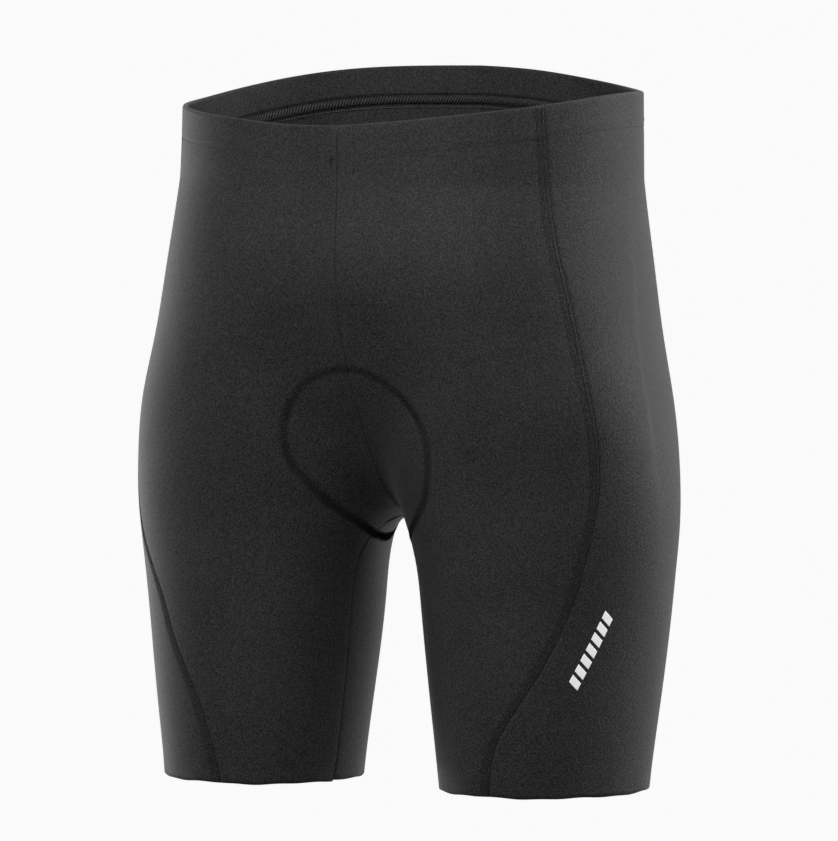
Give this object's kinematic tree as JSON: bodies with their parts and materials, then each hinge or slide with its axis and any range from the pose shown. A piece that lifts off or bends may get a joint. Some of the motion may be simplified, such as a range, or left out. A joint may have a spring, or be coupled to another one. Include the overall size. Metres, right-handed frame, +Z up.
{
  "type": "cycling shorts",
  "caption": "Close-fitting padded cycling shorts in their worn, hollow form, with shaped side seams, a turned elastic waist and a seat pad.",
  "frame": {"origin": "middle of the waist opening, level with the middle of the waistband at the sides, where the wearer's waist holds the shorts", "axes": "+Z up, the front of the shorts towards -Y, the wearer's left towards +X"},
  "size_m": [0.3621, 0.2264, 0.4549],
  "materials": {
    "knit_front": "matte stretch knit with a faint sheen",
    "knit_back": "matte stretch knit with a faint sheen",
    "waist_elastic": "matte elastic in a turned knit casing",
    "pad_cloth": "brushed matte cloth over foam"
  },
  "bodies": {
    "root": {"front_left": "knit_front", "front_right": "knit_front", "back_left": "knit_back", "back_right": "knit_back", "waistband": "waist_elastic", "seat_pad": "pad_cloth"}
  },
  "joints": []
}
